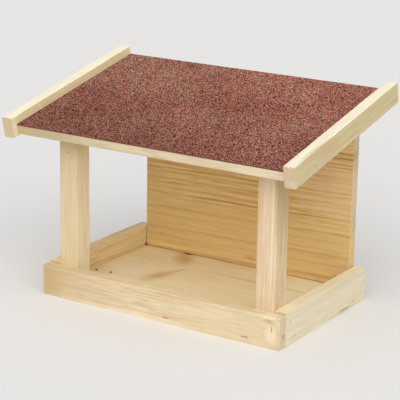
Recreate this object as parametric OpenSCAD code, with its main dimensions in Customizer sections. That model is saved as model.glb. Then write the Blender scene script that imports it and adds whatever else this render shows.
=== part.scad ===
// Open bird feeder of softwood boards: a seed tray with low rails, two front posts and a back wall,
// which carry a single-pitch roof covered with mineral felt. Sizes are in millimetres.
// X runs along the front, Y towards the back wall, Z up. The origin is the middle of the tray's underside.

/* [Tray] */
// Length of the front rail, which is the full width of the tray
tray_w = 300; // [240:1:400]
// Depth of the tray, from the face of the front rail to the rear face of the back wall
tray_d = 190; // [150:1:260]
// Height of the front rail
front_rail_h = 34; // [30:0.5:50]
// Thickness of the front rail
front_rail_t = 13; // [10:0.5:18]
// Height of the side rails
side_rail_h = 36.5; // [32:0.5:60]
// Thickness of the side rails
side_rail_t = 14; // [10:0.5:18]
// Thickness of the floor board
floor_t = 13; // [10:0.5:16]

/* [Uprights] */
// Side of the square front posts
post_size = 23; // [20:0.5:30]
// Thickness of the back wall
wall_t = 12; // [10:0.5:18]
// Gap between each edge of the back wall and the side rail beside it
wall_gap = 1; // [0:0.25:2]

/* [Roof] */
// Height of the roof board's underside, straight above the face of the front rail
roof_h = 188; // [140:0.5:240]
// Slope of the roof in degrees, rising towards the back
roof_slope = 12; // [5:0.5:20]
// Thickness of the roof board
roof_t = 9.5; // [8:0.5:16]
// Reach of the roof board in front of the front rail
roof_reach = 22.5; // [10:0.5:60]
// Reach of the roof board past each end of the front rail
roof_side = 15.5; // [5:0.5:40]
// Thickness of the roofing felt
felt_t = 2; // [1:0.25:4]

/* [Verge battens] */
// Thickness of the battens along the two sloping sides of the roof
batten_t = 13; // [9:0.5:18]
// Height of the battens above the top of the roof board
batten_rise = 11; // [5:0.5:20]
// Depth of the battens below the top of the roof board
batten_drop = 12; // [10:0.5:20]
// Reach of the battens in front of the roof board
batten_reach = 7; // [0:0.5:20]

/* [Staples] */
// Outside width of a staple's crown
staple_crown = 6; // [5:0.1:8]
// Length of a staple's legs
staple_len = 25; // [22:0.5:27]
// Thickness of the staple wire, across the crown and along its width in the legs
wire_t = 1; // [0.6:0.1:1.2]
// Breadth of the staple wire
wire_w = 1.2; // [0.8:0.1:1.6]
// Depth of a fastener's head below the surface of the wood
head_set = 0.3; // [0.1:0.1:0.6]
// Height of the corner staple above the floor board
corner_staple_up = 8; // [6:0.5:10]
// Distance of the front rail's lower right staple from the right end of the rail
front_staple_in = 41; // [34:1:60]
// Distance between the two lower staples of the front rail
front_staple_pitch = 97; // [60:1:110]

/* [Nails] */
// Diameter of the heads of the verge nails
nail_head_d = 2.6; // [2:0.1:4]
// Height of the heads of the verge nails
nail_head_h = 0.8; // [0.4:0.1:1.5]
// Diameter of the shanks of the verge nails
nail_d = 1.4; // [1:0.1:1.8]
// Length of the verge nails
nail_len = 28; // [24:0.5:34]
// Distance of the first verge nail behind the front edge of the roof board
nail_first = 32; // [15:1:60]
// Distance between the two nails of a batten
nail_pitch = 85; // [40:1:120]

/* [Fit] */
// Clearance round every staple and nail in the wood
fastener_gap = 0.05; // [0.02:0.01:0.15]

/* [Hidden] */
$fn = 32;

// Colours of the pieces
pine_pale = [0.91, 0.82, 0.65];
pine_tan = [0.78, 0.61, 0.40];
pine_floor = [0.82, 0.71, 0.53];
felt_red = [0.50, 0.27, 0.24];
steel = [0.66, 0.56, 0.40];

// Faces of the tray and of what stands in it, on the right-hand side where there are two
front = -tray_d / 2;
back = tray_d / 2;
side = tray_w / 2;
inner_front = front + front_rail_t;
inner_side = side - side_rail_t;
inner_w = 2 * inner_side;
inner_d = back - inner_front;
post_inner = inner_side - post_size;
post_back = inner_front + post_size;
wall_front = back - wall_t;
wall_mid = back - wall_t / 2;
wall_side = inner_side - wall_gap;

// Roof: its rear lower corners are flush with the back of the tray
function underside(y) = roof_h + (y - front) * tan(roof_slope);
roof_w = tray_w + 2 * roof_side;
roof_front = front - roof_reach;
roof_front_z = underside(roof_front) + roof_t / cos(roof_slope);
roof_tail = max(roof_t, batten_drop) * sin(roof_slope);
roof_len = (back - roof_tail - roof_front) / cos(roof_slope);

// Staples: rows of three along the wall, and side staples half a crown above the corner one they cross
row_count = 3;
row_pitch = inner_w / row_count;
staple_reach = staple_len + head_set;
floor_edge_mid = floor_t / 2;
corner_staple_x = side - side_rail_t * 2 / 3;
corner_staple_z = floor_t + corner_staple_up;
upper_staple_z = corner_staple_z + staple_crown / 2;
post_staple_y = inner_front + post_size * 2 / 5;
side_staple_in = staple_reach + staple_crown;
under_post_x = side - (staple_reach + side_rail_t + post_size) / 2;
under_post_y = front + (staple_reach + front_rail_t + post_size) / 2;
post_mid_x = inner_side - post_size / 2;
post_mid_y = inner_front + post_size / 2;

// Slope distance of a roof staple whose legs are centred at y inside the upright below
leg_mid_drop = (roof_t + staple_reach) / 2;
function roof_staple_v(y) = (y - roof_front - leg_mid_drop * sin(roof_slope)) / cos(roof_slope);

// Extra depth of a cut past the surface that it opens
cut_over = 1;

// The roof's own frame: X as before, Y up the slope from the board's top front edge, Z out of its top
module on_roof() {
    translate([0, roof_front, roof_front_z])
        rotate([roof_slope, 0, 0])
            children();
}

module mirrored() {
    mirror([1, 0, 0])
        children();
}

module both_sides() {
    children();
    mirrored()
        children();
}

// A block that stands on the floor board between y0 and y1, cut to the slope of the roof
module upright(x, width, y0, y1) {
    translate([x, 0, 0])
        rotate([90, 0, 90])
            linear_extrude(width)
                polygon([[y0, floor_t], [y1, floor_t], [y1, underside(y1)], [y0, underside(y0)]]);
}

// A staple driven down from Z = 0, its crown along X; gap widens it, lift raises the crown's top
module staple(gap = 0, lift = 0) {
    crown = staple_crown + 2 * gap;
    breadth = wire_w + 2 * gap;
    leg = wire_t + 2 * gap;
    translate([-crown / 2, -breadth / 2, -head_set - wire_t - gap])
        cube([crown, breadth, wire_t + gap + lift]);
    for (end = [-1, 1])
        translate([end * (staple_crown - wire_t) / 2 - leg / 2, -breadth / 2, -staple_reach - gap])
            cube([leg, breadth, staple_len]);
}

module staple_slot() {
    staple(fastener_gap, head_set + cut_over);
}

// A nail driven down from Z = 0; gap widens it, lift raises the head's top
module nail(gap = 0, lift = 0) {
    translate([0, 0, -head_set - nail_head_h - gap])
        cylinder(d = nail_head_d + 2 * gap, h = nail_head_h + gap + lift);
    translate([0, 0, -head_set - nail_len - gap])
        cylinder(d = nail_d + 2 * gap, h = nail_len);
}

module nail_hole() {
    nail(fastener_gap, head_set + cut_over);
}

// Places of the fasteners, each with Z out of the wood
module front_floor_spots() {
    for (inward = [front_staple_in, front_staple_in + front_staple_pitch])
        translate([side - inward, front, floor_edge_mid])
            rotate([90, 0, 0])
                children();
}

module front_corner_spot() {
    translate([corner_staple_x, front, corner_staple_z])
        rotate([90, 0, 0])
            rotate([0, 0, 90])
                children();
}

module side_post_spot() {
    translate([side, post_staple_y, upper_staple_z])
        rotate([0, 90, 0])
            children();
}

module side_wall_spot() {
    translate([side, wall_mid, upper_staple_z])
        rotate([0, 90, 0])
            children();
}

module side_floor_spots() {
    for (y = [front + side_staple_in, back - side_staple_in])
        translate([side, y, floor_edge_mid])
            rotate([0, 90, 0])
                rotate([0, 0, 90])
                    children();
}

module under_post_spot() {
    translate([under_post_x, under_post_y, 0])
        rotate([180, 0, 0])
            children();
}

module under_wall_spots() {
    for (i = [0 : row_count - 1])
        translate([(i - (row_count - 1) / 2) * row_pitch, wall_mid, 0])
            rotate([180, 0, 0])
                children();
}

module roof_post_spot() {
    on_roof()
        translate([post_mid_x, roof_staple_v(post_mid_y), 0])
            children();
}

module roof_wall_spots() {
    on_roof()
        for (i = [0 : row_count - 1])
            translate([(i - (row_count - 1) / 2) * row_pitch, roof_staple_v(wall_mid), 0])
                children();
}

module verge_nail_spots() {
    on_roof()
        for (v = [nail_first, nail_first + nail_pitch])
            translate([roof_w / 2 + batten_t, v, -roof_t / 2])
                rotate([0, 90, 0])
                    children();
}

// Right-hand shapes of the pieces that come in pairs
module side_rail() {
    difference() {
        translate([inner_side, inner_front, 0])
            cube([side_rail_t, inner_d, side_rail_h]);
        side_post_spot()
            staple_slot();
        side_wall_spot()
            staple_slot();
        side_floor_spots()
            staple_slot();
    }
}

module side_rail_staples() {
    side_post_spot()
        staple();
    side_wall_spot()
        staple();
    side_floor_spots()
        staple();
}

module post() {
    difference() {
        upright(post_inner, post_size, inner_front, post_back);
        side_post_spot()
            staple_slot();
        under_post_spot()
            staple_slot();
        roof_post_spot()
            staple_slot();
    }
}

module verge_batten() {
    difference() {
        on_roof()
            translate([roof_w / 2, -batten_reach, -batten_drop])
                cube([batten_t, batten_reach + roof_len, batten_drop + batten_rise]);
        verge_nail_spots()
            nail_hole();
    }
}

// The pieces
module floor_board() {
    color(pine_floor)
        difference() {
            translate([-inner_side, inner_front, 0])
                cube([inner_w, inner_d, floor_t]);
            front_floor_spots()
                staple_slot();
            both_sides()
                side_floor_spots()
                    staple_slot();
            both_sides()
                under_post_spot()
                    staple_slot();
            under_wall_spots()
                staple_slot();
        }
}

module front_rail() {
    color(pine_pale)
        difference() {
            translate([-side, front, 0])
                cube([tray_w, front_rail_t, front_rail_h]);
            front_floor_spots()
                staple_slot();
            front_corner_spot()
                staple_slot();
        }
}

module left_rail() {
    color(pine_pale)
        mirrored()
            side_rail();
}

module right_rail() {
    color(pine_pale)
        difference() {
            side_rail();
            front_corner_spot()
                staple_slot();
        }
}

module back_wall() {
    color(pine_tan)
        difference() {
            upright(-wall_side, 2 * wall_side, wall_front, back);
            both_sides()
                side_wall_spot()
                    staple_slot();
            under_wall_spots()
                staple_slot();
            roof_wall_spots()
                staple_slot();
        }
}

module left_post() {
    color(pine_pale)
        mirrored()
            post();
}

module right_post() {
    color(pine_pale)
        post();
}

module roof_board() {
    color(pine_pale)
        difference() {
            on_roof()
                translate([-roof_w / 2, 0, -roof_t])
                    cube([roof_w, roof_len, roof_t]);
            both_sides()
                roof_post_spot()
                    staple_slot();
            roof_wall_spots()
                staple_slot();
            both_sides()
                verge_nail_spots()
                    nail_hole();
        }
}

module roofing_felt() {
    color(felt_red)
        on_roof()
            translate([-roof_w / 2, 0, 0])
                cube([roof_w, roof_len, felt_t]);
}

module left_verge_batten() {
    color(pine_pale)
        mirrored()
            verge_batten();
}

module right_verge_batten() {
    color(pine_pale)
        verge_batten();
}

module front_rail_staples() {
    color(steel) {
        front_floor_spots()
            staple();
        front_corner_spot()
            staple();
    }
}

module left_rail_staples() {
    color(steel)
        mirrored()
            side_rail_staples();
}

module right_rail_staples() {
    color(steel)
        side_rail_staples();
}

module floor_to_post_staples() {
    color(steel)
        both_sides()
            under_post_spot()
                staple();
}

module floor_to_wall_staples() {
    color(steel)
        under_wall_spots()
            staple();
}

module roof_to_post_staples() {
    color(steel)
        both_sides()
            roof_post_spot()
                staple();
}

module roof_to_wall_staples() {
    color(steel)
        roof_wall_spots()
            staple();
}

module left_verge_nails() {
    color(steel)
        mirrored()
            verge_nail_spots()
                nail();
}

module right_verge_nails() {
    color(steel)
        verge_nail_spots()
            nail();
}

floor_board();
front_rail();
left_rail();
right_rail();
back_wall();
left_post();
right_post();
roof_board();
roofing_felt();
left_verge_batten();
right_verge_batten();
front_rail_staples();
left_rail_staples();
right_rail_staples();
floor_to_post_staples();
floor_to_wall_staples();
roof_to_post_staples();
roof_to_wall_staples();
left_verge_nails();
right_verge_nails();
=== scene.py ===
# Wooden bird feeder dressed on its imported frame: planed pine, red mineral felt, wire staples and nails.
from dataclasses import dataclass
from math import cos, radians, sin

import bmesh
import bpy
from mathutils import Euler, Matrix, Quaternion, Vector


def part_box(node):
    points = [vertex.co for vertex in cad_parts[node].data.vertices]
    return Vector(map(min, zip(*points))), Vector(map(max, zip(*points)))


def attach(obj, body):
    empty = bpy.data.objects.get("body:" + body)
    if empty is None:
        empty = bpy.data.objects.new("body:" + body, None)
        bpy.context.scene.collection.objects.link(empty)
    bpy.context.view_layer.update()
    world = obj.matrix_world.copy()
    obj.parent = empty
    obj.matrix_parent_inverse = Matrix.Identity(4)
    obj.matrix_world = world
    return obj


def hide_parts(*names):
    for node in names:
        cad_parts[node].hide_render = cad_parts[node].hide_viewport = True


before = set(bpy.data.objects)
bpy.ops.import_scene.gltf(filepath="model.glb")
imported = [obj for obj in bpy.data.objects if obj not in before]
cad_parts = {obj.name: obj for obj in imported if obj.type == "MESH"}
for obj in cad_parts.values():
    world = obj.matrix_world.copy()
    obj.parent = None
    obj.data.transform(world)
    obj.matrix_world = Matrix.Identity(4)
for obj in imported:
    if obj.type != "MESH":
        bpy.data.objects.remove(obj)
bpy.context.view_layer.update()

# Units and directions of the frame
MM = 0.001
RIGHT = Vector((1, 0, 0))
REAR = Vector((0, 1, 0))
UP = Vector((0, 0, 1))
LEVEL = Euler((0, 0, 0))

# Camera, fitted to the corners of the feeder in the photograph
CAMERA_YAW = radians(32.45)
CAMERA_PITCH = radians(16.1)
CAMERA_ROLL = radians(0.94)
CAMERA_DISTANCE = 1.6875
CAMERA_TARGET = Vector((-10.7, 5, 107.9)) * MM
CAMERA_LENS = 138.9
CAMERA_SENSOR = 36

# Studio floor and room
FLOOR_SIZE = 12
FLOOR_COLOUR = (236, 235, 232)
FLOOR_UNEVEN = 0.01
FLOOR_ROUGH = 0.9
ROOM_COLOUR = (250, 250, 255)
ROOM_STRENGTH = 0.45

# Soft lamps, as azimuth, elevation and strength
LAMP_SPREAD = radians(50)
LAMPS = {
    "key_lamp": (radians(12), radians(38), 1.35),
    "fill_lamp": (radians(64), radians(30), 0.95),
    "top_lamp": (radians(0), radians(85), 0.35),
}

# How the boards were worked
RAIL_EASE = 0.7 * MM
WALL_EASE = 0.8 * MM
POST_EASE = 0.8 * MM
BATTEN_EASE = 1.1 * MM
FLAT_EASE = 0.45 * MM
EASE_STEPS = 3
ROUND = 0.5
PARALLEL = 0.999
SMOOTH_ANGLE = radians(35)

# How the fasteners were driven
WIRE_EASE = 0.16 * MM
HEAD_EASE = 0.3 * MM
WIRE_STEPS = 2
SHARP_EDGE = radians(40)
RECESS_GAP = 0.05 * MM
RECESS_OPEN = 1.5 * MM
MERGE_GAP = 0.001 * MM

# Rough sawn arrises of the verge battens
BATTEN_CUTS = 64
BATTEN_STEPS = 2
ARRIS_ROUGH = 0.3 * MM
ARRIS_SEED = 7

# Chips in the right batten's front end, as (across, radius), and the tear in the right rail's lower edge
END_CHIPS = ((2.5 * MM, 1.3 * MM), (6.3 * MM, 1.7 * MM), (10.4 * MM, 1.2 * MM))
CHIP_LIFT = 0.3 * MM
TEAR_PLACE = Vector((150.6, 46, 1.4)) * MM
TEAR_RADII = Vector((1.4, 15, 1.5)) * MM
HOLLOW_FINENESS = 3

# Relief of the mineral felt
GRANULE_PITCH = 1.15 * MM
GRANULE_LUMP = 1.6 * MM
GRANULE_RELIEF = 0.35 * MM
SWELL_LUMP = 40 * MM
SWELL_RELIEF = 0.35 * MM


# Selecting and shaping

def only(piece):
    """Selects one object alone and makes it the active one."""
    bpy.ops.object.select_all(action="DESELECT")
    piece.select_set(True)
    bpy.context.view_layer.objects.active = piece


def edit(piece):
    """Opens one piece in edit mode with nothing chosen."""
    only(piece)
    bpy.ops.object.mode_set(mode="EDIT")
    bpy.ops.mesh.select_all(action="DESELECT")


def leave_edit():
    bpy.ops.object.mode_set(mode="OBJECT")


def choose(piece, kind, wanted):
    """Chooses the vertices or edges of the open piece that pass a test."""
    bpy.ops.mesh.select_mode(type=kind)
    bpy.ops.mesh.select_all(action="DESELECT")
    shape = bmesh.from_edit_mesh(piece.data)
    parts = {"VERT": shape.verts, "EDGE": shape.edges}[kind]
    for part in parts:
        if wanted(part):
            part.select_set(True)
    bmesh.update_edit_mesh(piece.data)


def runs_along(edge, axis):
    """True for an edge that runs parallel to an axis."""
    first, last = edge.verts
    return abs((last.co - first.co).normalized().dot(axis)) > PARALLEL


def extent(node, axis):
    """Lowest and highest place of a CAD node along a direction."""
    places = [corner.co.dot(axis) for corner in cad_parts[node].data.vertices]
    return min(places), max(places)


def middle(node):
    low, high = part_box(node)
    return (low + high) / 2


def blank(name, node, turn=LEVEL):
    """Starts a board as a cube that fills its CAD node, turned to lie along it."""
    bpy.ops.object.select_all(action="DESELECT")
    axes = list(turn.to_matrix().col)
    spans = [extent(node, axis) for axis in axes]
    centre = sum((axis * (low + high) / 2 for axis, (low, high) in zip(axes, spans)), Vector())
    size = [high - low for low, high in spans]
    bpy.ops.mesh.primitive_cube_add(size=1, location=centre, rotation=turn, scale=size)
    bpy.ops.object.transform_apply(location=True, rotation=True, scale=True)
    piece = bpy.context.object
    piece.name = name
    return piece


def round_edges(width, steps):
    """Rounds the chosen edges of the open piece."""
    bpy.ops.mesh.bevel(offset=width, segments=steps, profile=ROUND, affect="EDGES")


def ease(piece, width):
    """Rounds every edge of a board, as a plane and sandpaper leave them."""
    edit(piece)
    choose(piece, "EDGE", lambda edge: True)
    round_edges(width, EASE_STEPS)
    leave_edit()


def saw_off(piece, place, out):
    """Saws off what lies beyond a plane and closes the cut."""
    edit(piece)
    bpy.ops.mesh.select_all(action="SELECT")
    bpy.ops.mesh.bisect(plane_co=place, plane_no=out, use_fill=True, clear_outer=True)
    leave_edit()


def carve(piece, cutter):
    """Takes the cutter's shape out of a piece and throws the cutter away."""
    only(piece)
    bpy.ops.object.modifier_add(type="BOOLEAN")
    cut = piece.modifiers[-1]
    cut.operation = "DIFFERENCE"
    cut.solver = "EXACT"
    cut.object = cutter
    bpy.ops.object.modifier_apply(modifier=cut.name)
    bpy.data.objects.remove(cutter)


def node_copy(name, node):
    """A copy of a CAD node's mesh with its loose triangles merged."""
    piece = bpy.data.objects.new(name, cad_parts[node].data.copy())
    bpy.context.scene.collection.objects.link(piece)
    piece.data.materials.clear()
    edit(piece)
    bpy.ops.mesh.select_all(action="SELECT")
    bpy.ops.mesh.remove_doubles(threshold=MERGE_GAP)
    leave_edit()
    return piece


def sink_heads(board, node, out):
    """Cuts the recesses that a node's staples or nails were driven into."""
    cutter = node_copy("recess_cutter", node)
    edit(cutter)
    bpy.ops.mesh.select_all(action="SELECT")
    bpy.ops.transform.shrink_fatten(value=RECESS_GAP, use_even_offset=True)
    top = max(corner.co.dot(out) for corner in bmesh.from_edit_mesh(cutter.data).verts)
    choose(cutter, "VERT", lambda corner: corner.co.dot(out) > top - RECESS_GAP)
    bpy.ops.transform.translate(value=out * RECESS_OPEN)
    leave_edit()
    carve(board, cutter)


def scoop(board, place, radii):
    """Tears a shallow hollow out of a board."""
    bpy.ops.object.select_all(action="DESELECT")
    bpy.ops.mesh.primitive_ico_sphere_add(subdivisions=HOLLOW_FINENESS, radius=1, location=place, scale=radii)
    bpy.ops.object.transform_apply(location=True, rotation=True, scale=True)
    carve(board, bpy.context.object)


# Roof directions, read from the felt's largest face

def roof_outward():
    widest = max(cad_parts["roofing_felt"].data.polygons, key=lambda face: face.area)
    return widest.normal * (1 if widest.normal.z > 0 else -1)


ROOF_OUT = roof_outward()
UP_SLOPE = ROOF_OUT.cross(RIGHT)
ROOF_AXES = (RIGHT, UP_SLOPE, ROOF_OUT)
ROOF_TURN = Matrix(ROOF_AXES).transposed().to_euler()
ROOF_UNDERSIDE = ROOF_OUT * extent("roof_board", ROOF_OUT)[0]

# Faces of the boards that the marks in the wood lie on, in mm
FLOOR_TOP = extent("floor_board", UP)[1] / MM
WALL_FRONT = extent("back_wall", REAR)[0] / MM
TRAY_FRONT = extent("front_rail", REAR)[0] / MM
TRAY_RIGHT = extent("right_rail", RIGHT)[1] / MM
POST_FRONT = extent("left_post", REAR)[0] / MM


# Nodes of a finish

# Sockets of a mix node in its colour form
MIX_SHARE = 0
MIX_FIRST = 6
MIX_SECOND = 7
MIX_RESULT = 2

# How squarely a face looks along an axis where its finish begins, and where it is full
FACING_FROM = 0.55
FACING_FULL = 0.9


def paint(red, green, blue):
    """A colour given as it shows on screen, 0 to 255, as shader values."""
    shown = [value / 255 for value in (red, green, blue)]
    linear = [((value + 0.055) / 1.055) ** 2.4 if value > 0.04 else value / 12.92 for value in shown]
    return (*linear, 1)


@dataclass
class Noise:
    """Soft noise: its lumps a unit along each axis, and the values where its patches begin and are full."""
    lumps: tuple
    detail: float = 2.0
    roughness: float = 0.5
    low: float = 0.0
    high: float = 1.0


class Finish:
    """A material's node tree, with a short method for each kind of node that the finishes use."""

    def __init__(self, name):
        self.material = bpy.data.materials.new(name)
        self.material.use_nodes = True
        self.tree = self.material.node_tree
        self.tree.nodes.clear()
        self.place = self.add("ShaderNodeTexCoord")

    def feed(self, socket, value):
        """Plugs a socket into an input, or sets the input to a value."""
        if isinstance(value, bpy.types.NodeSocket):
            self.tree.links.new(value, socket)
        else:
            socket.default_value = value

    def add(self, kind, inputs=None, **settings):
        """Adds a node with its settings and inputs."""
        node = self.tree.nodes.new(kind)
        for key, value in settings.items():
            setattr(node, key, value)
        for key, value in (inputs or {}).items():
            self.feed(node.inputs[key], value)
        return node

    def math(self, operation, *values):
        node = self.add("ShaderNodeMath", operation=operation)
        for socket, value in zip(node.inputs, values):
            self.feed(socket, value)
        return node.outputs["Value"]

    def vector(self, operation, *values):
        node = self.add("ShaderNodeVectorMath", operation=operation)
        for socket, value in zip(node.inputs, values):
            self.feed(socket, value)
        return node.outputs["Value" if operation in ("LENGTH", "DOT_PRODUCT") else "Vector"]

    def local(self, centre, turn, scale):
        """Object coordinates seen from a centre, along turned axes, in units of scale."""
        inputs = {"Vector": self.place.outputs["Object"], "Location": centre}
        inputs.update({"Rotation": turn, "Scale": scale})
        return self.add("ShaderNodeMapping", inputs, vector_type="TEXTURE").outputs["Vector"]

    def split(self, vector):
        return self.add("ShaderNodeSeparateXYZ", {"Vector": vector}).outputs

    def noise(self, vector, kind):
        """Soft noise from 0 to 1."""
        inputs = {"Vector": self.vector("MULTIPLY", vector, kind.lumps), "Scale": 1.0}
        inputs.update({"Detail": kind.detail, "Roughness": kind.roughness})
        return self.add("ShaderNodeTexNoise", inputs).outputs["Fac"]

    def patches(self, vector, kind, between=0.0):
        """One inside the patches of a noise, and a lower value between them."""
        return self.spread(self.noise(vector, kind), kind.low, kind.high, between)

    def line_noise(self, value):
        """Soft noise from 0 to 1 along a single value."""
        inputs = {"W": value, "Scale": 1.0, "Detail": 0.0}
        return self.add("ShaderNodeTexNoise", inputs, noise_dimensions="1D").outputs["Fac"]

    def chance(self, value):
        """A number from 0 to 1 that is drawn afresh for each whole value."""
        return self.add("ShaderNodeTexWhiteNoise", {"W": value}, noise_dimensions="1D").outputs["Value"]

    def swing(self, value, reach):
        """Turns 0 to 1 into a swing of that reach to both sides of nothing."""
        return self.math("MULTIPLY_ADD", value, 2 * reach, -reach)

    def spread(self, value, low, high, to_low=0.0, to_high=1.0, smooth=True):
        """Maps a range onto another and stops at its ends."""
        inputs = {"Value": value, "From Min": low, "From Max": high, "To Min": to_low, "To Max": to_high}
        kind = "SMOOTHSTEP" if smooth else "LINEAR"
        return self.add("ShaderNodeMapRange", inputs, interpolation_type=kind).outputs["Result"]

    def facing(self, axis):
        """One on faces that look along an axis, either way, and nothing on the others."""
        squareness = self.vector("DOT_PRODUCT", self.place.outputs["Normal"], axis)
        return self.spread(self.math("ABSOLUTE", squareness), FACING_FROM, FACING_FULL)

    def ramp(self, value, stops, steps="LINEAR"):
        """Colours along a value, given as pairs of place and colour."""
        node = self.add("ShaderNodeValToRGB", {"Fac": value})
        ramp = node.color_ramp
        ramp.interpolation = steps
        while len(ramp.elements) < len(stops):
            ramp.elements.new(1.0)
        for element, (place, colour) in zip(ramp.elements, stops):
            element.position = place
            element.color = colour
        return node.outputs["Color"]

    def mix(self, share, first, second):
        """The first colour, with a share of the second over it."""
        node = self.add("ShaderNodeMix", data_type="RGBA")
        self.feed(node.inputs[MIX_SHARE], share)
        self.feed(node.inputs[MIX_FIRST], first)
        self.feed(node.inputs[MIX_SECOND], second)
        return node.outputs[MIX_RESULT]

    def dim(self, colour, factor):
        """A colour made darker or lighter by a factor."""
        factors = self.add("ShaderNodeCombineXYZ", {"X": factor, "Y": factor, "Z": factor})
        return self.vector("MULTIPLY", colour, factors.outputs["Vector"])

    def bump(self, height, strength, depth):
        inputs = {"Height": height, "Strength": strength, "Distance": depth}
        return self.add("ShaderNodeBump", inputs).outputs["Normal"]

    def surface(self, **inputs):
        """Ends the tree in one shader. Input names use _ for a space."""
        named = {key.replace("_", " "): value for key, value in inputs.items()}
        shader = self.add("ShaderNodeBsdfPrincipled", named)
        self.add("ShaderNodeOutputMaterial", {"Surface": shader.outputs["BSDF"]})
        return self.material


# Pine

@dataclass
class Mark:
    """A knot, stain, streak, painted highlight or patch of painted shade: an ellipsoid in the wood with a
    soft edge.

    Place and radii are in mm of the frame, and turn is in degrees about UP.
    Push bends the rings round it, in mm.
    """
    place: tuple
    radii: tuple
    colour: tuple
    strength: float
    core: float
    turn: float = 0.0
    push: float = 0.0


@dataclass
class Timber:
    """How a board was cut from its log, its colours, and its marks, the later drawn over the earlier. Some
    marks are painted light and shade, and so, in part, is the factor on the flanks.
    """
    pale: tuple
    dark: tuple
    end: tuple
    heart: tuple
    lean: tuple
    ring: float
    sway: float
    contrast: float
    streak: float
    flame: float
    fibre: float
    cloud: float
    ripple: float = 0.6
    uneven: float = 1.6
    end_rings: float = 0.35
    cloud_colour: tuple = (210, 172, 122)
    # Factor on the flanks: partly the board's own tone, partly painted light and shade that lightens or
    # darkens them.
    flank_tone_and_light: tuple = (1.0, 1.0, 1.0)
    marks: tuple = ()


# Noises of the wood, in lumps a mm along, across and through the grain
SWAY = Noise((0.008, 0.03, 0.03))
RIPPLE = Noise((0.035, 0.06, 0.06))
CLEAR_RINGS = Noise((0.012, 0.1, 0.1), low=0.32, high=0.62)
FIBRES = Noise((0.015, 0.8, 0.8), detail=4, roughness=0.6)
FINE_FIBRES = Noise((0.06, 3.5, 3.5), detail=3, roughness=0.6)
RESIN = Noise((0.05, 1.1, 1.1), detail=1, low=0.66, high=0.8)
CLOUDS = Noise((0.011, 0.07, 0.07), detail=3, low=0.35, high=0.7)
STREAKS = Noise((0.007, 0.32, 0.32), detail=3, roughness=0.6, low=0.45, high=0.7)
FLAMES = Noise((0.032, 0.3, 0.3), roughness=0.6, low=0.42, high=0.68)
MOTTLE = Noise((0.45, 0.45, 0.45), detail=4, roughness=0.65, low=0.38, high=0.7)

# Growth rings, with the darkness from one ring's start to the next
RING_WANDER = 0.45
RING_WEAKEST = 0.25
RING_FAINT = 0.4
RING_TONES = ((0.0, 0.25), (0.1, 0.0), (0.48, 0.12), (0.76, 0.75), (0.9, 1.0), (1.0, 0.25))

# Marks in the wood
MARK_EDGE = Noise((2.3, 2.3, 0.6))
MARK_RAGGED = 0.25
MARK_REACH = 2.5
DULL_BELOW = 130

# End grain, fibres and sheen
MOTTLE_SHARE = 0.8
MOTTLE_SHADE = (0.86, 0.78, 0.74)
FINE_SHADE = 0.3
RESIN_SHADE = 0.8
FINE_RELIEF = 0.6
LATE_RELIEF = 0.5
FIBRE_RELIEF = 0.4
GRAIN_BUMP = 0.35
GRAIN_DEPTH = 0.25 * MM
WOOD_ROUGH = 0.5
FIBRE_ROUGH = 0.25
WOOD_SHEEN = 0.12


def grain_turn(along, out):
    """Turn of a board's own axes: x along its grain, z out of its face."""
    return Matrix((along, out.cross(along), out)).transposed().to_euler()


def mark_masks(finish, mark):
    """How strongly a mark shows, and how near it is. Both fall softly to nothing away from it."""
    inside = finish.local(Vector(mark.place) * MM, (0, 0, radians(mark.turn)), Vector(mark.radii) * MM)
    ragged = finish.swing(finish.noise(inside, MARK_EDGE), MARK_RAGGED)
    distance = finish.math("ADD", finish.vector("LENGTH", inside), ragged)
    shows = finish.spread(distance, mark.core, 1.0, mark.strength, 0.0)
    near = finish.spread(distance, 0.0, MARK_REACH, 1.0, 0.0)
    return shows, near


def ring_radius(finish, wood, timber, masks):
    """Distance from the heart of the log, which leans and sways. Knots push the rings aside."""
    x, y, z = finish.split(wood)
    across = finish.math("SUBTRACT", finish.math("MULTIPLY_ADD", x, -timber.lean[0], y), timber.heart[0])
    through = finish.math("SUBTRACT", finish.math("MULTIPLY_ADD", x, -timber.lean[1], z), timber.heart[1])
    squares = [finish.math("MULTIPLY", part, part) for part in (across, through)]
    radius = finish.math("SQRT", finish.math("ADD", *squares))
    sway = finish.swing(finish.noise(wood, SWAY), timber.sway)
    ripple = finish.swing(finish.noise(wood, RIPPLE), timber.ripple)
    radius = finish.math("ADD", radius, finish.math("ADD", sway, ripple))
    for mark, (_, near) in zip(timber.marks, masks):
        if mark.push:
            radius = finish.math("MULTIPLY_ADD", near, mark.push, radius)
    return radius


def late_wood(finish, wood, radius, timber):
    """Rings of uneven width and strength: nothing in pale early wood, one in dark late wood."""
    rings = finish.math("DIVIDE", radius, timber.ring)
    wander = finish.line_noise(finish.math("MULTIPLY", rings, RING_WANDER))
    rings = finish.math("MULTIPLY_ADD", wander, timber.uneven, rings)
    stops = [(place, (tone, tone, tone, 1)) for place, tone in RING_TONES]
    late = finish.ramp(finish.math("FRACT", rings), stops)
    drawn = finish.chance(finish.math("FLOOR", rings))
    late = finish.math("MULTIPLY", late, finish.spread(drawn, 0.0, 1.0, RING_WEAKEST, 1.0, smooth=False))
    return finish.math("MULTIPLY", late, finish.patches(wood, CLEAR_RINGS, RING_FAINT))


def planed_colour(finish, wood, late, timber, sideways):
    """Colour of the long faces: rings, clouds, streaks and flames, and another tone on the flanks, partly the
    board's own and partly painted light and shade that makes them lighter or darker.
    """
    dark = paint(*timber.dark)
    colour = finish.mix(finish.math("MULTIPLY", late, timber.contrast), paint(*timber.pale), dark)
    layers = (
        (CLOUDS, timber.cloud, paint(*timber.cloud_colour)),
        (STREAKS, timber.streak, dark),
        (FLAMES, timber.flame, dark),
    )
    for kind, strength, tint in layers:
        share = finish.math("MULTIPLY", finish.patches(wood, kind), strength)
        colour = finish.mix(share, colour, tint)
    return finish.mix(finish.facing(sideways), colour, finish.vector("MULTIPLY", colour, timber.flank_tone_and_light))


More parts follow.
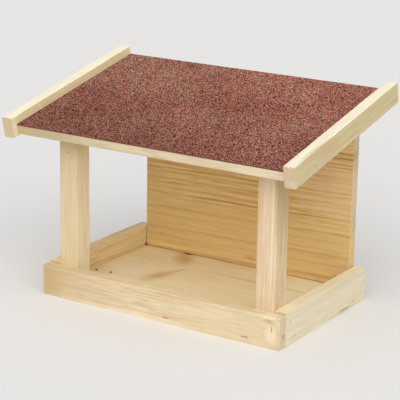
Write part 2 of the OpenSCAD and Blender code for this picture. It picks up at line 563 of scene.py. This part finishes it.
def sawn_colour(finish, wood, late, timber):
    """Colour of the end grain, mottled by the saw."""
    rings = finish.math("MULTIPLY", late, timber.end_rings)
    colour = finish.mix(rings, paint(*timber.end), paint(*timber.dark))
    share = finish.math("MULTIPLY", finish.patches(wood, MOTTLE), MOTTLE_SHARE)
    return finish.mix(share, colour, finish.vector("MULTIPLY", colour, MOTTLE_SHADE))


def fibre_shade(finish, wood, fibre, fine, depth):
    """Light and dark of the fibres and of thin resin streaks, about one."""
    shade = finish.math("ADD", finish.swing(fibre, depth / 2), finish.swing(fine, FINE_SHADE * depth))
    shade = finish.math("ADD", shade, 1.0)
    return finish.math("MULTIPLY_ADD", finish.patches(wood, RESIN), -RESIN_SHADE * depth, shade)


def wood_sheen(finish, timber, masks):
    """A low sheen that dark marks do not have."""
    sheen = WOOD_SHEEN
    for mark, (shows, _) in zip(timber.marks, masks):
        if max(mark.colour) < DULL_BELOW:
            sheen = finish.math("MULTIPLY", sheen, finish.math("SUBTRACT", 1.0, shows))
    return sheen


def pine(name, node, along, out, timber):
    """Planed softwood whose growth rings, fibres and knots run through the whole board."""
    finish = Finish(name)
    wood = finish.local(middle(node), grain_turn(along, out), (MM, MM, MM))
    masks = [mark_masks(finish, mark) for mark in timber.marks]
    late = late_wood(finish, wood, ring_radius(finish, wood, timber, masks), timber)
    fibre = finish.noise(wood, FIBRES)
    fine = finish.noise(wood, FINE_FIBRES)

    colour = planed_colour(finish, wood, late, timber, out.cross(along))
    colour = finish.mix(finish.facing(along), colour, sawn_colour(finish, wood, late, timber))
    for mark, (shows, _) in zip(timber.marks, masks):
        colour = finish.mix(shows, colour, paint(*mark.colour))
    colour = finish.dim(colour, fibre_shade(finish, wood, fibre, fine, timber.fibre))

    height = finish.math("MULTIPLY", fine, FINE_RELIEF)
    height = finish.math("MULTIPLY_ADD", late, LATE_RELIEF, height)
    height = finish.math("MULTIPLY_ADD", fibre, FIBRE_RELIEF, height)
    return finish.surface(
        Base_Color=colour,
        Roughness=finish.math("MULTIPLY_ADD", fibre, FIBRE_ROUGH, WOOD_ROUGH),
        Specular_IOR_Level=wood_sheen(finish, timber, masks),
        Normal=finish.bump(height, GRAIN_BUMP, GRAIN_DEPTH))


# Mineral felt

FELT_COLOURS = (
    (0.00, (52, 3, 1)), (0.23, (96, 28, 15)), (0.34, (156, 86, 71)), (0.50, (185, 112, 96)),
    (0.71, (205, 144, 125)), (0.86, (153, 134, 103)), (0.93, (229, 186, 164)),
)
FELT_BITUMEN = (60, 14, 7)
FELT_EDGE = (126, 84, 72)
FELT_OLIVE = (0.94, 1.18, 1.12)
FELT_CRIMSON = (1.06, 0.91, 0.98)

# Granules, and the clusters and slow drift of their tones
GRANULES_PER_MM = 1.3
CLUSTERS = Noise((0.16, 0.16, 0.16), detail=3, roughness=0.65)
CLUSTER_SWING = 0.1
DRIFT = Noise((0.012, 0.012, 0.012), detail=1)
DRIFT_SWING = 0.15

# Tones across the felt: distances from its middle are in mm, and pairs run from low to high or left to right
FELT_ACROSS = 160
FELT_UPWARD = 110
FADE_LEAN = 0.15
FADE = (0.82, 1.2)
OLIVE = Noise((0.05, 0.05, 0.05), detail=3, roughness=0.6, low=0.4, high=0.65)
OLIVE_SHARE = (1.0, 0.3)
CORNER_LEAN = -0.5
CORNER_FROM = 60
CORNER_FULL = 170
CORNER_SHARE = 0.5
CRIMSON = Noise((0.07, 0.07, 0.07), detail=3, roughness=0.65, low=0.48, high=0.68)
CRIMSON_SHIFT = (310.0, 170.0, 0.0)

# Bare bitumen between the granules and along the cut edges
GAP_FROM = 0.45
GAP_FULL = 0.75
GAP_SHARE = (0.62, 0.56)
CUT_FULL = 0.2
CUT_FROM = 0.6
CUT_SHARE = 0.7

# Gloss and relief of the felt
FELT_ROUGH = 0.75
TONE_ROUGH = 0.15
FELT_SHEEN = 0.03
FELT_BUMP = 0.6
FELT_DEPTH = 0.5 * MM


def granule_tone(finish, roof, grain):
    """A number for each granule that picks its colour."""
    tone = finish.split(grain.outputs["Color"])[0]
    tone = finish.math("ADD", tone, finish.swing(finish.noise(roof, CLUSTERS), CLUSTER_SWING))
    return finish.math("ADD", tone, finish.swing(finish.noise(roof, DRIFT), DRIFT_SWING))


def graded_granules(finish, roof, colour):
    """Granules that are darker low on the roof, with olive and crimson patches."""
    across, upward, _ = finish.split(roof)
    fade = finish.math("MULTIPLY_ADD", across, FADE_LEAN, upward)
    colour = finish.dim(colour, finish.spread(fade, -FELT_UPWARD, FELT_UPWARD, *FADE, smooth=False))
    share = finish.spread(across, -FELT_ACROSS, FELT_ACROSS, *OLIVE_SHARE, smooth=False)
    olive = finish.math("MULTIPLY", finish.patches(roof, OLIVE), share)
    corner = finish.math("MULTIPLY_ADD", across, CORNER_LEAN, upward)
    olive = finish.math("ADD", olive, finish.spread(corner, CORNER_FROM, CORNER_FULL, 0.0, CORNER_SHARE))
    colour = finish.mix(olive, colour, finish.vector("MULTIPLY", colour, FELT_OLIVE))
    crimson = finish.patches(finish.vector("ADD", roof, CRIMSON_SHIFT), CRIMSON)
    return finish.mix(crimson, colour, finish.vector("MULTIPLY", colour, FELT_CRIMSON))


def bare_bitumen(finish, roof, grain, colour):
    """Dark bitumen between the granules, and the dull colour of the cut edges."""
    gap = finish.spread(grain.outputs["Distance"], GAP_FROM, GAP_FULL)
    share = finish.spread(finish.split(roof)[0], -FELT_ACROSS, FELT_ACROSS, *GAP_SHARE, smooth=False)
    colour = finish.mix(finish.math("MULTIPLY", gap, share), colour, paint(*FELT_BITUMEN))
    upward = finish.vector("DOT_PRODUCT", finish.place.outputs["Normal"], ROOF_OUT)
    return finish.mix(finish.spread(upward, CUT_FULL, CUT_FROM, CUT_SHARE, 0.0), colour, paint(*FELT_EDGE))


def mineral_felt():
    """Bitumen felt with pressed red granules of several colours."""
    finish = Finish("red_mineral_felt")
    roof = finish.local(middle("roofing_felt"), ROOF_TURN, (MM, MM, MM))
    inputs = {"Vector": roof, "Scale": GRANULES_PER_MM, "Randomness": 1.0}
    grain = finish.add("ShaderNodeTexVoronoi", inputs)
    tone = granule_tone(finish, roof, grain)
    colour = finish.ramp(tone, [(place, paint(*tint)) for place, tint in FELT_COLOURS], "CONSTANT")
    colour = graded_granules(finish, roof, colour)
    height = finish.math("SUBTRACT", 1.0, grain.outputs["Distance"])
    return finish.surface(
        Base_Color=bare_bitumen(finish, roof, grain, colour),
        Roughness=finish.math("MULTIPLY_ADD", tone, TONE_ROUGH, FELT_ROUGH),
        Specular_IOR_Level=FELT_SHEEN,
        Normal=finish.bump(height, FELT_BUMP, FELT_DEPTH))


# Wire and nails

@dataclass
class Steel:
    """Colours of a fastener, and how metallic it looks."""
    bright: tuple
    dull: tuple
    rust: tuple
    metal: float


COATED_WIRE = Steel((200, 172, 126), (172, 142, 98), (132, 96, 60), 0.35)
BRIGHT_WIRE = Steel((226, 208, 170), (206, 186, 146), (170, 140, 100), 0.25)
DULL_NAIL = Steel((176, 170, 120), (150, 146, 98), (124, 108, 68), 0.25)
DULL_PATCHES = Noise((1.1, 1.1, 1.1), detail=4, roughness=0.65, low=0.35, high=0.65)
RUST_SPOTS = Noise((2.4, 2.4, 2.4), detail=3, low=0.58, high=0.72)
RUST_SHARE = 0.6
STEEL_ROUGH = 0.32
DULL_ROUGH = 0.25
RUST_ROUGH = 0.2
STEEL_BUMP = 0.3
STEEL_DEPTH = 0.05 * MM


def driven_steel(name, steel):
    """Drawn steel with dull patches and a little rust."""
    finish = Finish(name)
    place = finish.local((0, 0, 0), LEVEL, (MM, MM, MM))
    dull = finish.patches(place, DULL_PATCHES)
    rust = finish.patches(place, RUST_SPOTS)
    colour = finish.mix(dull, paint(*steel.bright), paint(*steel.dull))
    colour = finish.mix(finish.math("MULTIPLY", rust, RUST_SHARE), colour, paint(*steel.rust))
    rough = finish.math("MULTIPLY_ADD", dull, DULL_ROUGH, STEEL_ROUGH)
    rough = finish.math("MULTIPLY_ADD", rust, RUST_ROUGH, rough)
    return finish.surface(
        Base_Color=colour, Roughness=rough, Metallic=steel.metal,
        Normal=finish.bump(dull, STEEL_BUMP, STEEL_DEPTH))


# Timber of each board. The flank factors are partly each board's own tone and partly painted light and shade
# on its flanks.

# Reach of the floor's marks through the board, and the turns of its knots and streaks
THROUGH = 30
KNOT_TURN = -58
STREAK_TURN = 71
PIN_KNOTS = ((-128.7, -25.8, FLOOR_TOP), (-109.9, -24.1, FLOOR_TOP))
PIN_KNOT_HALOS = tuple(
    Mark(place, (6, 3, THROUGH), (190, 142, 76), 0.5, 0.2, turn=KNOT_TURN) for place in PIN_KNOTS)
PIN_KNOT_CORES = tuple(
    Mark(place, (3.7, 1.6, THROUGH), (66, 36, 8), 0.9, 0.35, turn=KNOT_TURN) for place in PIN_KNOTS)
FLOOR_PINE = Timber(
    pale=(245, 229, 190), dark=(220, 190, 142), end=(214, 188, 150), heart=(30, -420), lean=(0.01, 0.05),
    ring=5.0, sway=1.5, contrast=0.24, streak=0.2, flame=0.2, fibre=0.15, cloud=0.25,
    cloud_colour=(232, 204, 158),
    marks=(
        # Painted light: a pale pool of light over the right of the tray floor.
        Mark((112, 35, FLOOR_TOP), (72, 75, THROUGH), (255, 247, 210), 0.9, 0.3),
        *PIN_KNOT_HALOS,
        *PIN_KNOT_CORES,
        Mark((-69, 65, FLOOR_TOP), (34, 18, THROUGH), (208, 160, 80), 0.75, 0.1, turn=KNOT_TURN, push=3.0),
        Mark((-75, 82, FLOOR_TOP), (10, 2.8, THROUGH), (122, 72, 6), 0.97, 0.3),
        # Painted shade: a dark spot in the corner where the floor meets the wall and the left rail.
        Mark((-135.5, 82, FLOOR_TOP), (3.5, 2.4, THROUGH), (96, 52, 6), 0.8, 0.3),
        # Painted light: a pale patch that lifts the roof's shade on the front middle of the floor.
        Mark((30, -10, FLOOR_TOP), (120, 85, THROUGH), (250, 236, 194), 0.4, 0.1),
        Mark((-60, -2, FLOOR_TOP), (36, 15, THROUGH), (202, 158, 98), 0.75, 0.0, turn=STREAK_TURN, push=3.0),
        Mark((-51, 24, FLOOR_TOP), (20, 3.4, THROUGH), (204, 162, 104), 0.6, 0.1, turn=STREAK_TURN),
        Mark((50, 41.2, FLOOR_TOP), (106, 2.3, THROUGH), (194, 154, 100), 0.52, 0.3),
        Mark((107.9, 72.9, FLOOR_TOP), (2.2, 5.0, THROUGH), (120, 112, 70), 0.7, 0.3),
    ))

WALL_PINE = Timber(
    pale=(244, 212, 146), dark=(162, 95, 8), end=(200, 192, 162), heart=(-232, -194), lean=(0.03, 0.0),
    ring=4.3, sway=1.2, uneven=0.9, contrast=1.0, streak=0.32, flame=0.2, fibre=0.2, cloud=0.2,
    cloud_colour=(222, 178, 114), end_rings=0.7,
    marks=(
        # Partly plainer grain, partly painted light: the low part of the wall made paler, below the roof's
        # shade.
        Mark((0, WALL_FRONT, 48), (700, 60, 44), (229, 195, 133), 0.66, 0.45),
        Mark((115, WALL_FRONT, 120), (62, 60, 48), (236, 203, 162), 0.5, 0.4),
        Mark((-140, WALL_FRONT, 90), (60, 60, 90), (216, 176, 106), 0.4, 0.1),
        # Painted light: a pale band that lifts the roof's shade at the top of the wall.
        Mark((0, WALL_FRONT, 205), (500, 60, 45), (248, 218, 160), 0.35, 0.1),
        # Painted light: a pale strip along the wall's left edge, beside the shaded gap to the left rail.
        Mark((-136, WALL_FRONT - 1, 60), (1.6, 3, 60), (255, 226, 150), 0.9, 0.5),
        # Painted shade: a dark line along the wall's foot, where it meets the floor.
        Mark((0, WALL_FRONT, FLOOR_TOP), (900, 2.5, 1.5), (118, 68, 18), 0.6, 0.3),
        # Painted shade: a dark spot in the wall's lower left corner.
        Mark((-135.5, WALL_FRONT, 14.5), (3.2, 5, 3.2), (100, 54, 8), 0.85, 0.3),
        Mark((120, WALL_FRONT, 23), (6, 8, 3.5), (178, 112, 60), 0.5, 0.2),
        Mark((9.5, WALL_FRONT, 23.5), (13, 8, 4), (204, 142, 66), 0.5, 0.2),
    ))

# Torn wood at both ends of the front rail's two level staples: their x, and how far to each side, in mm
LEVEL_STAPLES = (12, 109)
TORN_REACH = (-2.4, 3.3)
TORN_ENDS = tuple(
    Mark((staple + reach, TRAY_FRONT, 6.1), (2.0, 4, 0.9), (128, 88, 52), 0.65, 0.3)
    for staple in LEVEL_STAPLES for reach in TORN_REACH)
FRONT_PINE = Timber(
    pale=(229, 216, 180), dark=(200, 168, 122), end=(225, 203, 174), heart=(-70, -150), lean=(0.02, 0.03),
    ring=2.6, sway=2.6, ripple=1.0, contrast=0.55, streak=0.4, flame=0.5, fibre=0.18, cloud=0.5,
    cloud_colour=(222, 188, 150), flank_tone_and_light=(1.13, 1.14, 1.09),
    marks=(
        Mark((140, TRAY_FRONT, 15), (10, 20, 14), (252, 242, 210), 0.6, 0.3),
        # Painted highlight: a pale patch along the top arris at the rail's right end.
        Mark((137, TRAY_FRONT, 34), (13, 12, 4.5), (255, 244, 208), 0.65, 0.4),
        Mark((137, TRAY_FRONT, 29.2), (10, 30, 3.6), (188, 140, 82), 0.8, 0.1, push=6.0),
        Mark((140, TRAY_FRONT, 25.5), (9, 30, 1.6), (206, 166, 116), 0.55, 0.1),
        Mark((-125, TRAY_FRONT, 17), (120, 40, 60), (200, 166, 126), 0.45, 0.1),
        Mark((-150, TRAY_FRONT - 2, 15), (46, 9, 60), (189, 162, 112), 0.6, 0.2),
        Mark((95, TRAY_FRONT, 17), (90, 20, 60), (228, 209, 172), 0.45, 0.3),
        Mark((TRAY_RIGHT, -86.6, 12.7), (12, 5, 5), (186, 146, 116), 0.6, 0.2),
        Mark((-30, TRAY_FRONT, 0), (150, 20, 7), (247, 234, 204), 0.45, 0.2),
        *TORN_ENDS,
    ))

LEFT_RAIL_PINE = Timber(
    pale=(240, 220, 174), dark=(206, 166, 106), end=(214, 186, 150), heart=(-120, -60), lean=(0.01, 0.02),
    ring=2.8, sway=2.0, ripple=1.0, contrast=0.45, streak=0.35, flame=0.25, fibre=0.13, cloud=0.2,
    flank_tone_and_light=(1.04, 1.05, 1.12),
    marks=(
        # Painted light: a pale strip that lifts the shade in the gap beside the wall's left end.
        Mark((-137, WALL_FRONT + 1.5, 25), (4, 3, 40), (255, 238, 180), 1.0, 0.6),
        # Painted shade: a dark spot at the foot of the gap beside the wall, in the corner.
        Mark((-137, WALL_FRONT, 14), (4, 3, 3), (110, 60, 10), 0.7, 0.3),
    ))
RIGHT_RAIL_PINE = Timber(
    pale=(235, 225, 197), dark=(208, 190, 154), end=(214, 190, 156), heart=(-120, -60), lean=(0.01, 0.02),
    ring=1.8, sway=1.2, contrast=0.4, streak=0.35, flame=0.25, fibre=0.17, cloud=0.25,
    cloud_colour=(220, 202, 168), flank_tone_and_light=(1.2, 1.19, 1.11),
    marks=(
        Mark((143, -80, 38), (12, 22, 6), (216, 198, 160), 0.3, 0.2),
        Mark((TRAY_RIGHT, 46, 2.2), (3, 16, 1.4), (112, 92, 54), 0.8, 0.3),
        Mark((TRAY_RIGHT, 36, 5), (3, 12, 3), (226, 190, 136), 0.4, 0.1),
        Mark((TRAY_RIGHT, 88, 22), (4, 5, 5), (224, 184, 136), 0.25, 0.1),
    ))

LEFT_POST_PINE = Timber(
    pale=(222, 204, 164), dark=(198, 168, 122), end=(214, 186, 150), heart=(-60, -70), lean=(0.0, 0.02),
    ring=4.5, sway=1.2, contrast=0.2, streak=0.2, flame=0.2, fibre=0.11, cloud=0.25,
    cloud_colour=(212, 184, 140), flank_tone_and_light=(1.24, 1.33, 1.52),
    marks=(
        # Painted shade: a warm darker patch at the top of the post, under the roof.
        Mark((-124, POST_FRONT, 178), (60, 40, 26), (206, 178, 124), 0.45, 0.1),
        Mark((-125, POST_FRONT, 162), (1.8, 6, 1.0), (140, 116, 72), 0.7, 0.3),
    ))
RIGHT_POST_PINE = Timber(
    pale=(235, 217, 184), dark=(201, 155, 106), end=(214, 186, 150), heart=(90, -8), lean=(0.01, 0.0),
    ring=2.8, sway=0.8, contrast=0.5, streak=0.45, flame=0.2, fibre=0.14, cloud=0.2, flank_tone_and_light=(0.93, 0.93, 0.88),
    marks=(
        Mark((113, POST_FRONT, 100), (11, 9, 120), (206, 166, 124), 0.45, 0.1),
        Mark((124, POST_FRONT, 36), (16, 8, 22), (210, 172, 130), 0.35, 0.1),
        # Painted shade: darker on the upper part of the post's outer side, under the roof.
        Mark((136, -66, 187), (5, 60, 115), (180, 154, 104), 0.8, 0.15),
    ))

ROOF_PINE = Timber(
    pale=(228, 212, 180), dark=(196, 166, 128), end=(214, 190, 152), heart=(-40, -160), lean=(0.01, 0.03),
    ring=4.0, sway=2.0, contrast=0.3, streak=0.3, flame=0.35, fibre=0.26, cloud=0.4,
    cloud_colour=(214, 186, 150),
    marks=(
        Mark((-165, -118, 188), (165, 30, 40), (191, 171, 131), 0.85, 0.1),
        Mark((150, -118, 188), (100, 30, 40), (240, 224, 192), 0.5, 0.2),
    ))
LEFT_BATTEN_PINE = Timber(
    pale=(253, 246, 219), dark=(234, 218, 176), end=(212, 192, 156), heart=(-60, -90), lean=(0.02, 0.03),
    ring=2.6, sway=1.6, contrast=0.4, streak=0.4, flame=0.3, fibre=0.12, cloud=0.2,
    cloud_colour=(236, 220, 182), flank_tone_and_light=(0.91, 0.85, 0.67))
RIGHT_BATTEN_PINE = Timber(
    pale=(252, 245, 220), dark=(230, 214, 174), end=(212, 192, 156), heart=(-60, -90), lean=(0.02, 0.03),
    ring=2.6, sway=1.6, contrast=0.5, streak=0.5, flame=0.3, fibre=0.12, cloud=0.2,
    cloud_colour=(236, 220, 182), flank_tone_and_light=(0.70, 0.63, 0.46),
    marks=(
        Mark((171, -126, 197), (7, 4, 7), (224, 184, 150), 0.5, 0.0),
        Mark((175, -122.5, 184), (9, 3, 8), (222, 208, 172), 0.6, 0.1),
        Mark((178.5, -79, 208), (5, 70, 15), (206, 180, 136), 0.6, 0.2),
    ))


# Pieces

def dress(piece, node, material):
    """Gives a finished piece its material, and sets it in the place of its CAD node."""
    piece.data.materials.clear()
    piece.data.materials.append(material)
    only(piece)
    bpy.ops.object.shade_smooth_by_angle(angle=SMOOTH_ANGLE)
    bpy.ops.object.modifier_add(type="WEIGHTED_NORMAL")
    piece.modifiers[-1].keep_sharp = True
    bpy.ops.object.modifier_apply(modifier=piece.modifiers[-1].name)
    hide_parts(node)
    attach(piece, "root")


def floor_board():
    piece = blank("floor_plank", "floor_board")
    ease(piece, FLAT_EASE)
    for node in ("floor_to_post_staples", "floor_to_wall_staples"):
        sink_heads(piece, node, -UP)
    dress(piece, "floor_board", pine("floor_pine", "floor_board", RIGHT, UP, FLOOR_PINE))


def rail(side, out, along, timber):
    """A tray rail: planed, eased, with the staples driven in from outside."""
    node = side + "_rail"
    piece = blank(node + "_plank", node)
    ease(piece, RAIL_EASE)
    if side == "right":
        scoop(piece, TEAR_PLACE, TEAR_RADII)
    sink_heads(piece, node + "_staples", out)
    dress(piece, node, pine(node + "_pine", node, along, out, timber))


def back_wall():
    piece = blank("wall_plank", "back_wall")
    saw_off(piece, ROOF_UNDERSIDE, ROOF_OUT)
    ease(piece, WALL_EASE)
    dress(piece, "back_wall", pine("wall_pine", "back_wall", RIGHT, -REAR, WALL_PINE))


def post(side, timber):
    """A square post in a front corner, sawn to the slope of the roof."""
    node = side + "_post"
    piece = blank(node + "_timber", node)
    saw_off(piece, ROOF_UNDERSIDE, ROOF_OUT)
    ease(piece, POST_EASE)
    dress(piece, node, pine(node + "_pine", node, UP, -REAR, timber))


def roof_board():
    piece = blank("roof_plank", "roof_board", ROOF_TURN)
    ease(piece, FLAT_EASE)
    dress(piece, "roof_board", pine("roof_pine", "roof_board", RIGHT, ROOF_OUT, ROOF_PINE))


def chip_place(node, across):
    """A place on the top edge of a batten's front end."""
    left = extent(node, RIGHT)[0]
    front = extent(node, UP_SLOPE)[0]
    top = extent(node, ROOF_OUT)[1]
    return RIGHT * (left + across) + UP_SLOPE * front + ROOF_OUT * (top + CHIP_LIFT)


def saw_arrises(piece, node):
    """Rounds the long arrises of a batten, and roughens them as a saw leaves them."""
    edit(piece)
    choose(piece, "EDGE", lambda edge: runs_along(edge, UP_SLOPE))
    bpy.ops.mesh.subdivide(number_cuts=BATTEN_CUTS)
    choose(piece, "EDGE", lambda edge: runs_along(edge, UP_SLOPE))
    round_edges(BATTEN_EASE, BATTEN_STEPS)
    faces = [(axis, place) for axis in (RIGHT, ROOF_OUT) for place in extent(node, axis)]

    def off_the_faces(corner):
        return all(abs(corner.co.dot(axis) - place) > MERGE_GAP for axis, place in faces)

    choose(piece, "VERT", off_the_faces)
    bpy.ops.transform.vertex_random(offset=ARRIS_ROUGH, uniform=0.0, normal=0.0, seed=ARRIS_SEED)
    leave_edit()


def verge_batten(side, out, timber):
    """A batten beside the roof, with rough sawn arrises and nails through its side."""
    node = side + "_verge_batten"
    piece = blank(side + "_verge_strip", node, ROOF_TURN)
    saw_arrises(piece, node)
    sink_heads(piece, side + "_verge_nails", out)
    if side == "right":
        for across, radius in END_CHIPS:
            scoop(piece, chip_place(node, across), Vector((radius, radius, radius)))
    dress(piece, node, pine(side + "_batten_pine", node, UP_SLOPE, ROOF_OUT, timber))


def roughen(piece, name, kind, lump, depth, group):
    """Lowers the vertices of a group by a lumpy texture."""
    texture = bpy.data.textures.new(name, type=kind)
    texture.noise_scale = lump
    only(piece)
    bpy.ops.object.modifier_add(type="DISPLACE")
    relief = piece.modifiers[-1]
    relief.texture = texture
    relief.texture_coords = "LOCAL"
    relief.direction = "NORMAL"
    relief.vertex_group = group
    relief.mid_level = 1.0
    relief.strength = depth
    bpy.ops.object.modifier_apply(modifier=relief.name)


def felt_grid(width, length, centre):
    """A flat grid in the plane of the roof, one square to a granule."""
    bpy.ops.object.select_all(action="DESELECT")
    bpy.ops.mesh.primitive_grid_add(
        x_subdivisions=round(width / GRANULE_PITCH), y_subdivisions=round(length / GRANULE_PITCH),
        size=1, location=centre, rotation=ROOF_TURN)
    piece = bpy.context.object
    piece.scale = (width, length, 1)
    bpy.ops.object.transform_apply(location=True, rotation=True, scale=True)
    return piece


def felt():
    """Roofing felt with a granular face that swells a little."""
    node = "roofing_felt"
    (left, right), (front, rear), (under, top) = [extent(node, axis) for axis in ROOF_AXES]
    centre = RIGHT * (left + right) / 2 + UP_SLOPE * (front + rear) / 2 + ROOF_OUT * top
    piece = felt_grid(right - left, rear - front, centre)
    piece.name = "felt_cover"
    face = piece.vertex_groups.new(name="granules")
    face.add(range(len(piece.data.vertices)), 1.0, "REPLACE")
    edit(piece)
    choose(piece, "EDGE", lambda edge: edge.is_boundary)
    bpy.ops.mesh.extrude_region_move(TRANSFORM_OT_translate={"value": ROOF_OUT * (under - top)})
    bpy.ops.mesh.edge_face_add()
    leave_edit()
    roughen(piece, "granules", "VORONOI", GRANULE_LUMP, GRANULE_RELIEF, "granules")
    roughen(piece, "swell", "CLOUDS", SWELL_LUMP, SWELL_RELIEF, "granules")
    dress(piece, node, mineral_felt())


def fasteners(node, material, width):
    """Staples or nails of one node, their sharp edges rounded."""
    piece = node_copy(node.replace("_to_", "_") + "_driven", node)
    edit(piece)
    bpy.ops.mesh.select_mode(type="EDGE")
    bpy.ops.mesh.edges_select_sharp(sharpness=SHARP_EDGE)
    round_edges(width, WIRE_STEPS)
    leave_edit()
    dress(piece, node, material)


def all_fasteners():
    """The staples and nails of the whole feeder. Those on the right rail are bright."""
    coated = driven_steel("coated_staple_wire", COATED_WIRE)
    nail = driven_steel("dull_nail_steel", DULL_NAIL)
    bright = driven_steel("bright_staple_wire", BRIGHT_WIRE)
    for node in [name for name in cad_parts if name.endswith("_staples")]:
        fasteners(node, bright if node == "right_rail_staples" else coated, WIRE_EASE)
    for node in [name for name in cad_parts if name.endswith("_nails")]:
        fasteners(node, nail, HEAD_EASE)


def build_feeder():
    floor_board()
    rail("front", -REAR, RIGHT, FRONT_PINE)
    rail("left", -RIGHT, REAR, LEFT_RAIL_PINE)
    rail("right", RIGHT, REAR, RIGHT_RAIL_PINE)
    back_wall()
    post("left", LEFT_POST_PINE)
    post("right", RIGHT_POST_PINE)
    roof_board()
    verge_batten("left", -RIGHT, LEFT_BATTEN_PINE)
    verge_batten("right", RIGHT, RIGHT_BATTEN_PINE)
    felt()
    all_fasteners()


# Studio

FLOOR_TONE = Noise((3, 3, 3))


def studio_floor():
    bpy.ops.object.select_all(action="DESELECT")
    bpy.ops.mesh.primitive_plane_add(size=FLOOR_SIZE)
    floor = bpy.context.object
    floor.name = "studio_floor"
    finish = Finish("pale_floor")
    shade = finish.swing(finish.noise(finish.place.outputs["Object"], FLOOR_TONE), FLOOR_UNEVEN)
    colour = finish.dim(paint(*FLOOR_COLOUR)[:3], finish.math("ADD", shade, 1.0))
    floor.data.materials.append(finish.surface(Base_Color=colour, Roughness=FLOOR_ROUGH))


def outward(azimuth, elevation):
    """Direction from the feeder: azimuth 0 is straight in front, and 90 degrees to the right."""
    return Vector((sin(azimuth) * cos(elevation), -cos(azimuth) * cos(elevation), sin(elevation)))


def soft_lamp(name, azimuth, elevation, strength):
    """A wide distant lamp, which lights the feeder and the whole floor alike."""
    back = outward(azimuth, elevation)
    bpy.ops.object.light_add(type="SUN", location=CAMERA_TARGET + back)
    lamp = bpy.context.object
    lamp.name = name
    lamp.rotation_euler = back.to_track_quat("Z", "Y").to_euler()
    lamp.data.angle = LAMP_SPREAD
    lamp.data.energy = strength


def room_light():
    world = bpy.data.worlds.new("soft_room")
    bpy.context.scene.world = world
    world.use_nodes = True
    background = world.node_tree.nodes["Background"]
    background.inputs["Color"].default_value = paint(*ROOM_COLOUR)
    background.inputs["Strength"].default_value = ROOM_STRENGTH


def camera():
    back = outward(CAMERA_YAW, CAMERA_PITCH)
    bpy.ops.object.camera_add(location=CAMERA_TARGET + back * CAMERA_DISTANCE)
    view = bpy.context.object
    view.name = "photo_camera"
    turn = back.to_track_quat("Z", "Y") @ Quaternion((0, 0, 1), CAMERA_ROLL)
    view.rotation_euler = turn.to_euler()
    view.data.lens = CAMERA_LENS
    view.data.sensor_width = CAMERA_SENSOR
    bpy.context.scene.camera = view


bpy.context.scene.view_settings.view_transform = "Standard"
build_feeder()
studio_floor()
room_light()
for lamp, aim in LAMPS.items():
    soft_lamp(lamp, *aim)
camera()
